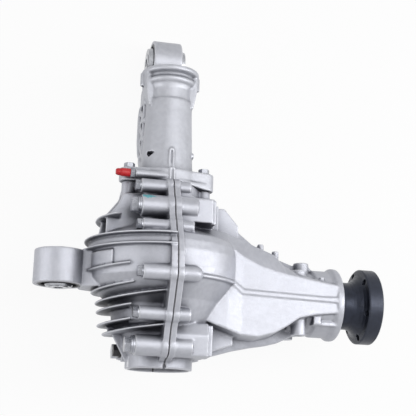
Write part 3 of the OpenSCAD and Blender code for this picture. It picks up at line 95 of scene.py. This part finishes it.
class Graph:
    """Adds nodes to a tree."""

    def __init__(self, tree):
        self.tree = tree
        tree.nodes.clear()

    def put(self, socket, value):
        """Links the socket to another one, or sets it to a plain value."""
        if isinstance(value, bpy.types.NodeSocket):
            self.tree.links.new(value, socket)
        else:
            socket.default_value = value

    def add(self, kind, inputs=(), **settings):
        node = self.tree.nodes.new("ShaderNode" + kind)
        for key, value in settings.items():
            setattr(node, key, value)
        for key, value in dict(inputs).items():
            self.put(node.inputs[key], value)
        return node

    def math(self, operation, a, b=0.0):
        return self.add("Math", {0: a, 1: b}, operation=operation).outputs[0]

    def remap(self, value, low, high, to_low, to_high):
        names = ("Value", "From Min", "From Max", "To Min", "To Max")
        return self.add("MapRange", dict(zip(names, (value, low, high, to_low, to_high)))).outputs[0]

    def mix(self, share, a, b):
        node = self.add("Mix", data_type="RGBA")
        colours = [s for s in node.inputs if s.type == "RGBA"]
        self.put(node.inputs[0], share)
        self.put(colours[0], a)
        self.put(colours[1], b)
        return next(s for s in node.outputs if s.type == "RGBA")

    def noise(self, coords, scale, detail=2.0, roughness=0.5):
        inputs = {"Vector": coords, "Scale": scale, "Detail": detail, "Roughness": roughness}
        return self.add("TexNoise", inputs).outputs[0]

    def bump(self, height, distance, strength, normal=None):
        inputs = {"Height": height, "Distance": distance, "Strength": strength}
        if normal is not None:
            inputs["Normal"] = normal
        return self.add("Bump", inputs).outputs[0]

    def bevel(self, radius):
        return self.add("Bevel", {"Radius": radius}, samples=6).outputs[0]

    def crevice(self, distance):
        """1 in the open and 0 deep in a corner."""
        return self.add("AmbientOcclusion", {"Distance": distance}, samples=8).outputs["AO"]

    def edge(self):
        """Above 0.5 on an edge and below it in a corner."""
        return self.add("NewGeometry").outputs["Pointiness"]

    def seen(self):
        """1 for rays from the camera, a mirror or glass, and 0 for light that falls on things."""
        path = self.add("LightPath")
        direct = self.math("MAXIMUM", path.outputs["Is Camera Ray"], path.outputs["Is Glossy Ray"])
        return self.math("MAXIMUM", direct, path.outputs["Is Transmission Ray"])


def rgb(r, g, b):
    return (r, g, b, 1.0)


def scaled(colour, share):
    return rgb(*[c * share for c in colour])


def new_material(name):
    material = bpy.data.materials.new(name)
    material.use_nodes = True
    graph = Graph(material.node_tree)
    out = graph.add("OutputMaterial")
    shader = graph.add("BsdfPrincipled")
    graph.put(out.inputs[0], shader.outputs[0])
    coords = graph.add("TexCoord").outputs["Object"]
    return material, graph, shader, coords


def connect(graph, shader, **inputs):
    for key, value in inputs.items():
        graph.put(shader.inputs[key.replace("_", " ")], value)


# Materials


def cast_metal(name, colour, dark, bright, marks=()):
    """Shot-blasted casting: fine grain, slow waves, edges lightened with a painted highlight, and corners
    and creases darkened with painted shade.
    """
    material, graph, shader, coords = new_material(name)
    cloud = graph.noise(coords, scale=26.0, detail=4.0, roughness=0.6)
    patch = graph.noise(coords, scale=170.0, detail=3.0)
    grain = graph.noise(coords, scale=1500.0)
    pits = graph.add("TexVoronoi", {"Vector": coords, "Scale": 900.0}).outputs["Distance"]
    edge = graph.edge()
    corner = graph.crevice(28 * MM)
    tone = graph.mix(graph.remap(cloud, 0.35, 0.65, 0.0, 1.0), scaled(colour, 0.93), rgb(*colour))
    tone = graph.mix(graph.remap(patch, 0.4, 0.62, 0.0, 0.12), tone, rgb(*bright))
    # Painted shade: darker towards corners and recesses, from ambient occlusion.
    tone = graph.mix(graph.remap(corner, 0.25, 0.92, 1.0, 0.0), tone, rgb(*dark))
    # Painted highlight on outer edges.
    tone = graph.mix(graph.remap(edge, 0.515, 0.56, 0.0, 0.6), tone, rgb(*bright))
    # Painted shade in inner creases.
    tone = graph.mix(graph.remap(edge, 0.49, 0.45, 0.0, 0.8), tone, rgb(*dark))
    for mark in marks:
        tone = mark(graph, coords, tone)
    waves = graph.noise(coords, scale=75.0, detail=3.0)
    skin = graph.bump(waves, distance=0.6 * MM, strength=0.35)
    skin = graph.bump(pits, distance=0.12 * MM, strength=0.4, normal=skin)
    skin = graph.bump(grain, distance=0.16 * MM, strength=0.5, normal=skin)
    roughness = graph.remap(patch, 0.3, 0.7, 0.38, 0.52)
    connect(graph, shader, Base_Color=tone, Metallic=0.55, Roughness=roughness, Normal=skin)
    return material


def turned_metal(name, colour, rings_in, centre):
    """Metal cut on a lathe. rings_in is the two coordinates that span a ring, about the centre."""
    ring_pitch = 0.5 * MM
    material, graph, shader, coords = new_material(name)
    split = graph.add("SeparateXYZ", {0: coords})
    a, b = (graph.math("SUBTRACT", split.outputs[i], c) for i, c in zip(rings_in, centre))
    squares = graph.math("ADD", graph.math("MULTIPLY", a, a), graph.math("MULTIPLY", b, b))
    radius = graph.math("SQRT", squares)
    rings = graph.math("SINE", graph.math("MULTIPLY", radius, 2 * math.pi / ring_pitch))
    cloud = graph.noise(coords, scale=60.0, detail=3.0)
    fine = graph.noise(coords, scale=900.0)
    tone = graph.mix(graph.remap(cloud, 0.3, 0.7, 0.0, 1.0), scaled(colour, 0.88), rgb(*colour))
    roughness = graph.remap(fine, 0.3, 0.7, 0.23, 0.36)
    skin = graph.bump(rings, distance=0.02 * MM, strength=0.5)
    connect(graph, shader, Base_Color=tone, Metallic=1.0, Roughness=roughness, Normal=skin)
    return material


def plated_metal(
        name, colour, dark, roughness, metallic=1.0, edge_highlight=0.4, bevel=0.4 * MM, grain=700.0):
    """Metal with a plated, rolled or ground skin. Its edges are softly broken and lightened with a
    painted highlight, its corners darkened with painted shade.
    """
    material, graph, shader, coords = new_material(name)
    cloud = graph.noise(coords, scale=120.0, detail=3.0)
    fine = graph.noise(coords, scale=grain, detail=3.0)
    corner = graph.crevice(6 * MM)
    bright = rgb(*[min(1.0, c * 1.25 + 0.03) for c in colour])
    tone = graph.mix(graph.remap(cloud, 0.35, 0.65, 0.0, 0.5), rgb(*colour), rgb(*dark))
    # Painted shade in corners and recesses, from ambient occlusion.
    tone = graph.mix(graph.remap(corner, 0.3, 0.9, 0.85, 0.0), tone, rgb(*dark))
    # Painted highlight on edges.
    tone = graph.mix(graph.remap(graph.edge(), 0.52, 0.6, 0.0, edge_highlight), tone, bright)
    sheen = graph.remap(fine, 0.3, 0.7, roughness - 0.06, roughness + 0.1)
    skin = graph.bump(fine, distance=0.04 * MM, strength=0.35, normal=graph.bevel(bevel))
    connect(graph, shader, Base_Color=tone, Metallic=metallic, Roughness=sheen, Normal=skin)
    return material


def moulded(name, colour, mottle_and_highlight, roughness, grain=600.0, depth=0.08 * MM):
    """Rubber, plastic or sealant: no metal, with a fine skin and slightly paler edges from a painted
    highlight.
    """
    material, graph, shader, coords = new_material(name)
    cloud = graph.noise(coords, scale=90.0, detail=3.0)
    fine = graph.noise(coords, scale=grain, detail=3.0)
    tone = graph.mix(graph.remap(cloud, 0.35, 0.7, 0.0, 0.45), rgb(*colour), rgb(*mottle_and_highlight))
    # Painted highlight on edges.
    tone = graph.mix(graph.remap(graph.edge(), 0.52, 0.6, 0.0, 0.5), tone, rgb(*mottle_and_highlight))
    sheen = graph.remap(fine, 0.3, 0.7, roughness - 0.08, roughness + 0.1)
    skin = graph.bump(fine, distance=depth, strength=0.5, normal=graph.bevel(0.5 * MM))
    connect(graph, shader, Base_Color=tone, Roughness=sheen, Normal=skin)
    return material


# Teal dab of a paint pen on the upper clamp bolt's boss
DAB_AT = (-34 * MM, 209 * MM, 68 * MM)
DAB_REACH = (12 * MM, 3 * MM, 8 * MM)
TEAL = rgb(0.05, 0.42, 0.47)


def paint_dab(graph, coords, tone):
    away = graph.add("VectorMath", {0: coords, 1: DAB_AT}, operation="SUBTRACT").outputs[0]
    away = graph.add("VectorMath", {0: away, 1: DAB_REACH}, operation="DIVIDE").outputs[0]
    distance = graph.add("VectorMath", {0: away}, operation="LENGTH").outputs["Value"]
    fray = graph.remap(graph.noise(coords, scale=260.0, detail=4.0), 0.3, 0.7, -0.45, 0.45)
    ragged = graph.math("ADD", distance, fray)
    return graph.mix(graph.remap(ragged, 0.7, 0.95, 0.8, 0.0), tone, TEAL)


ALUMINIUM = (0.47, 0.48, 0.53)
ALUMINIUM_TUBE = (0.49, 0.50, 0.545)
# The darker colour is painted shade in corners and creases. The paler one gives random patches and
# painted edge highlights.
ALUMINIUM_PAINTED_SHADE = (0.07, 0.072, 0.09)
ALUMINIUM_PALE_AND_HIGHLIGHT = (0.78, 0.79, 0.83)
MACHINED = (0.72, 0.73, 0.76)

MATERIALS = {
    "cast_aluminium": cast_metal(
        "cast_aluminium", ALUMINIUM, ALUMINIUM_PAINTED_SHADE, ALUMINIUM_PALE_AND_HIGHLIGHT, [paint_dab]),
    "cast_aluminium_tube": cast_metal(
        "cast_aluminium_tube", ALUMINIUM_TUBE, ALUMINIUM_PAINTED_SHADE, ALUMINIUM_PALE_AND_HIGHLIGHT),
    "sealant": moulded("sealant", (0.16, 0.16, 0.18), (0.24, 0.24, 0.26), roughness=0.6),
    "rubber_seal": moulded("rubber_seal", (0.018, 0.018, 0.019), (0.05, 0.05, 0.05), roughness=0.5),
    "seal_brown": moulded("seal_brown", (0.075, 0.035, 0.022), (0.13, 0.07, 0.05), roughness=0.45),
    "bush_rubber": moulded(
        "bush_rubber", (0.012, 0.012, 0.014), (0.045, 0.045, 0.048),
        roughness=0.6, grain=420.0, depth=0.15 * MM),
    "ground_steel": plated_metal(
        "ground_steel", (0.46, 0.47, 0.50), (0.16, 0.165, 0.18), roughness=0.26),
    "zinc_steel": plated_metal(
        "zinc_steel", (0.40, 0.41, 0.45), (0.10, 0.105, 0.12),
        roughness=0.26, metallic=0.9, edge_highlight=0.25),
    "dark_steel": plated_metal("dark_steel", (0.16, 0.16, 0.17), (0.07, 0.07, 0.08), roughness=0.42),
    "black_plug": plated_metal(
        "black_plug", (0.028, 0.028, 0.031), (0.01, 0.01, 0.012), roughness=0.42, metallic=0.3),
    "red_cap": moulded(
        "red_cap", (0.56, 0.008, 0.014), (0.66, 0.03, 0.035), roughness=0.32, grain=300.0),
    "black_flange": plated_metal(
        "black_flange", (0.024, 0.029, 0.046), (0.010, 0.012, 0.020),
        roughness=0.36, metallic=0.6, bevel=0.8 * MM, grain=380.0),
    "cast_iron": cast_metal("cast_iron", (0.20, 0.20, 0.21), (0.07, 0.07, 0.075), (0.34, 0.34, 0.35)),
    "gear_steel": plated_metal("gear_steel", (0.36, 0.36, 0.38), (0.18, 0.18, 0.20), roughness=0.3),
    "bearing_steel": plated_metal(
        "bearing_steel", (0.60, 0.61, 0.63), (0.34, 0.35, 0.37), roughness=0.16),
    "bronze": plated_metal("bronze", (0.55, 0.36, 0.15), (0.30, 0.18, 0.07), roughness=0.3),
    "machined_axle": turned_metal("machined_axle", MACHINED, (0, 2), (0.0, 0.0)),
    "machined_pinion": turned_metal("machined_pinion", MACHINED, (1, 2), (PINION_Y, 0.0)),
    "machined_flat": plated_metal("machined_flat", MACHINED, (0.55, 0.56, 0.60), roughness=0.3),
}


# Castings: the CAD solid with the soft fillets of a sand or die casting

VOXEL = 1.1 * MM
SMOOTHING_FACTOR = 0.5
SMOOTHING_STEPS = 6

# A polygon belongs to a machined face when it looks along the axis and lies within the band
FLAT_NORMAL = 0.93
FLAT_BAND = 0.8 * MM


def copy_of(node, name):
    """A copy of a CAD node as a piece of its own, without the marks that tie it to the frame."""
    piece = frame["nodes"][node].copy()
    piece.data = frame["nodes"][node].data.copy()
    piece.name = name
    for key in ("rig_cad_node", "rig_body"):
        if key in piece:
            del piece[key]
    piece.parent = None
    bpy.context.scene.collection.objects.link(piece)
    return piece


def apply_modifiers(piece):
    """Bakes the piece's modifiers into its mesh."""
    bpy.context.view_layer.update()
    graph = bpy.context.evaluated_depsgraph_get()
    mesh = bpy.data.meshes.new_from_object(piece.evaluated_get(graph))
    piece.modifiers.clear()
    piece.data = mesh


def soften(piece):
    """Rounds every edge and corner of the piece."""
    remesh = piece.modifiers.new("remesh", "REMESH")
    remesh.mode = "VOXEL"
    remesh.voxel_size = VOXEL
    remesh.use_smooth_shade = True
    smooth = piece.modifiers.new("smooth", "SMOOTH")
    smooth.factor = SMOOTHING_FACTOR
    smooth.iterations = SMOOTHING_STEPS
    apply_modifiers(piece)


def paint(piece, material, faces):
    """Gives the piece its cast finish, and the machined faces theirs."""
    piece.data.materials.clear()
    for finish in [material] + [face[3] for face in faces]:
        piece.data.materials.append(MATERIALS[finish])
    for polygon in piece.data.polygons:
        polygon.use_smooth = True
        polygon.material_index = 0
        for i, (axis, level, sense, _) in enumerate(faces):
            looks_along = polygon.normal[axis] * sense > FLAT_NORMAL
            if looks_along and abs(polygon.center[axis] - level) < FLAT_BAND:
                polygon.material_index = i + 1


def casting(node, name, body, material, faces):
    """A filleted copy of a cast CAD node. faces has (axis, level, sense, material) for each flat."""
    piece = copy_of(node, name)
    soften(piece)
    paint(piece, material, faces)
    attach(piece, body)
    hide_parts(node)


casting("case_cover", "case_cover_cast", "casing", "cast_aluminium", [
    (1, 0.0, -1, "machined_axle"),
    (0, BOLT_SEAT_X, -1, "machined_flat"),
])
casting("carrier_housing", "carrier_housing_cast", "casing", "cast_aluminium", [
    (1, 0.0, -1, "machined_axle"),
    (0, SNOUT_END_X, 1, "machined_pinion"),
])
casting("axle_tube", "axle_tube_cast", "casing", "cast_aluminium_tube", [
    (1, TUBE_END_Y, 1, "machined_axle"),
])

# Each CAD node gets the finish of its slot, the three replaced ones too
slot_of = {s["node"]: s["material_slot"] for s in frame["record"]["subparts"]}
for node_name, node in frame["nodes"].items():
    node.data.materials.clear()
    node.data.materials.append(MATERIALS[slot_of[node_name]])


# Studio

WHITE = rgb(1.0, 1.0, 1.0)
FILL_STRENGTH = 0.25
FLOOR_REACH = 6.0
FLOOR_GAP = 0.5 * MM
FLOOR_GREY = rgb(0.86, 0.86, 0.865)
FLOOR_GLOW = 0.93
LAMPS_AIM_AT = (0.05, 0.2, 0.0)


def world():
    """White where it is seen, and a weak fill for what it lights."""
    scene_world = bpy.data.worlds.new("studio")
    scene_world.use_nodes = True
    graph = Graph(scene_world.node_tree)
    strength = graph.remap(graph.seen(), 0.0, 1.0, FILL_STRENGTH, 1.0)
    background = graph.add("Background", {"Color": WHITE, "Strength": strength})
    out = graph.add("OutputWorld")
    graph.put(out.inputs[0], background.outputs[0])
    bpy.context.scene.world = scene_world


def floor_material():
    """Grey for the light that falls on it. Where it is seen it is mostly a white glow."""
    material = bpy.data.materials.new("floor")
    material.use_nodes = True
    graph = Graph(material.node_tree)
    glow_share = graph.math("MULTIPLY", graph.seen(), FLOOR_GLOW)
    diffuse = graph.add("BsdfDiffuse", {"Color": FLOOR_GREY})
    glow = graph.add("Emission", {"Color": WHITE, "Strength": 1.0})
    mixed = graph.add("MixShader", {0: glow_share, 1: diffuse.outputs[0], 2: glow.outputs[0]})
    out = graph.add("OutputMaterial")
    graph.put(out.inputs[0], mixed.outputs[0])
    return material


def floor():
    """A square floor just under the object."""
    level = cad_low.z - FLOOR_GAP
    corners = [(x * FLOOR_REACH, y * FLOOR_REACH, level) for x, y in ((-1, -1), (1, -1), (1, 1), (-1, 1))]
    mesh = bpy.data.meshes.new("floor")
    mesh.from_pydata(corners, [], [(0, 1, 2, 3)])
    mesh.materials.append(floor_material())
    plate = bpy.data.objects.new("floor", mesh)
    bpy.context.scene.collection.objects.link(plate)


def lamp(name, position, size, power):
    """A white panel lamp that is aimed at the object's middle."""
    data = bpy.data.lights.new(name, "AREA")
    data.shape = "RECTANGLE"
    data.size, data.size_y = size
    data.energy = power
    light = bpy.data.objects.new(name, data)
    light.location = position
    aim = Vector(LAMPS_AIM_AT) - Vector(position)
    light.rotation_euler = aim.to_track_quat("-Z", "Y").to_euler()
    bpy.context.scene.collection.objects.link(light)


def camera():
    """The fitted camera of the photograph."""
    data = bpy.data.cameras.new("camera")
    data.lens = CAMERA_LENS
    data.sensor_width = SENSOR_WIDTH
    data.clip_start = CLIP_NEAR
    data.clip_end = CLIP_FAR
    piece = bpy.data.objects.new("camera", data)
    columns = (CAMERA_RIGHT, CAMERA_UP, CAMERA_BACK, CAMERA_AT)
    rows = [[column[i] for column in columns] for i in range(3)] + [[0, 0, 0, 1]]
    piece.matrix_world = Matrix(rows)
    bpy.context.scene.collection.objects.link(piece)
    bpy.context.scene.camera = piece


camera()
world()
floor()
lamp("front", (0.45, 0.35, 1.8), size=(1.3, 1.5), power=12.0)
lamp("left_strip", (-1.15, 0.15, 0.35), size=(0.3, 1.3), power=4.0)
lamp("right_strip", (1.15, 0.2, 0.8), size=(0.35, 1.3), power=8.5)

bpy.context.scene.view_settings.view_transform = "Standard"
